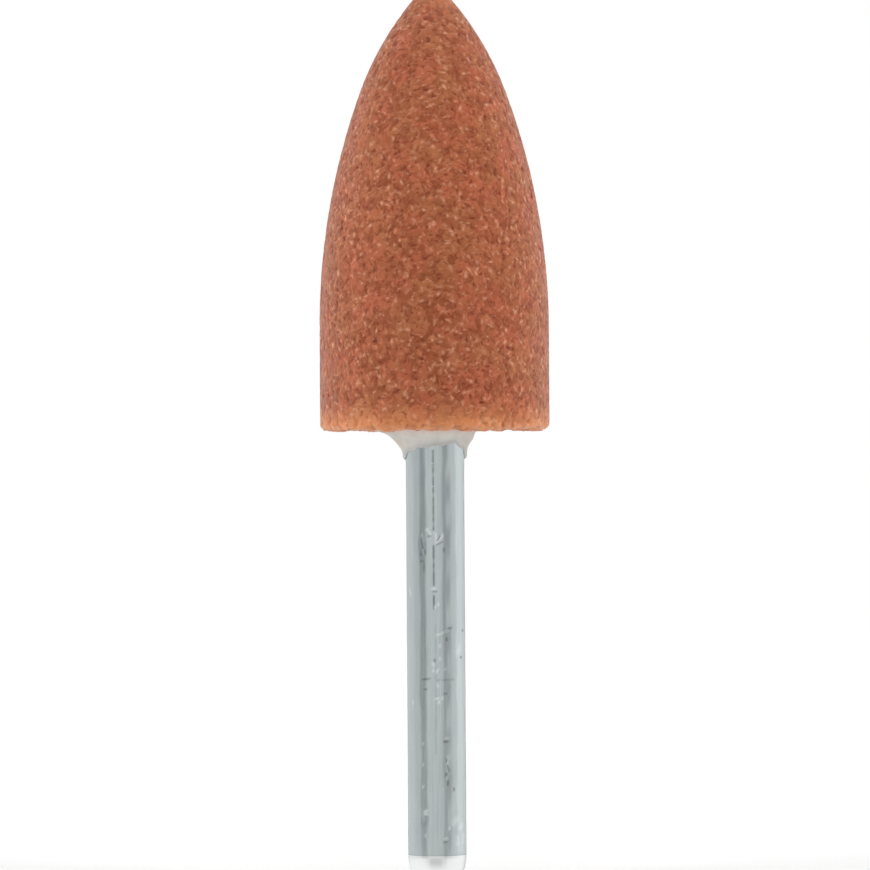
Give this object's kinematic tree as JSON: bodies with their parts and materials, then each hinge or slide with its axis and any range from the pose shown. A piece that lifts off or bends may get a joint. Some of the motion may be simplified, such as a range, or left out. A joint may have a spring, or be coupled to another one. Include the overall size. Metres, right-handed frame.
{
  "type": "mounted point",
  "caption": "Pointed abrasive stone with a straight land and rounded flanks, cemented onto a plain steel shank that a rotary tool's collet grips, for deburring and grinding.",
  "frame": {"origin": "middle of the shank's free end", "axes": "+Z along the spindle's axis, from the shank's free end to the stone's tip"},
  "size_m": [0.0125, 0.0124, 0.0483],
  "materials": {
    "abrasive_stone": "rough, vitrified aluminium oxide grit with open pores",
    "cement": "matt, set by hand with an uneven edge",
    "plated_steel": "drawn and plated, satin, lightly scuffed"
  },
  "bodies": {
    "root": {"abrasive_head": "abrasive_stone", "bonding_cement": "cement", "spindle": "plated_steel"}
  },
  "joints": []
}
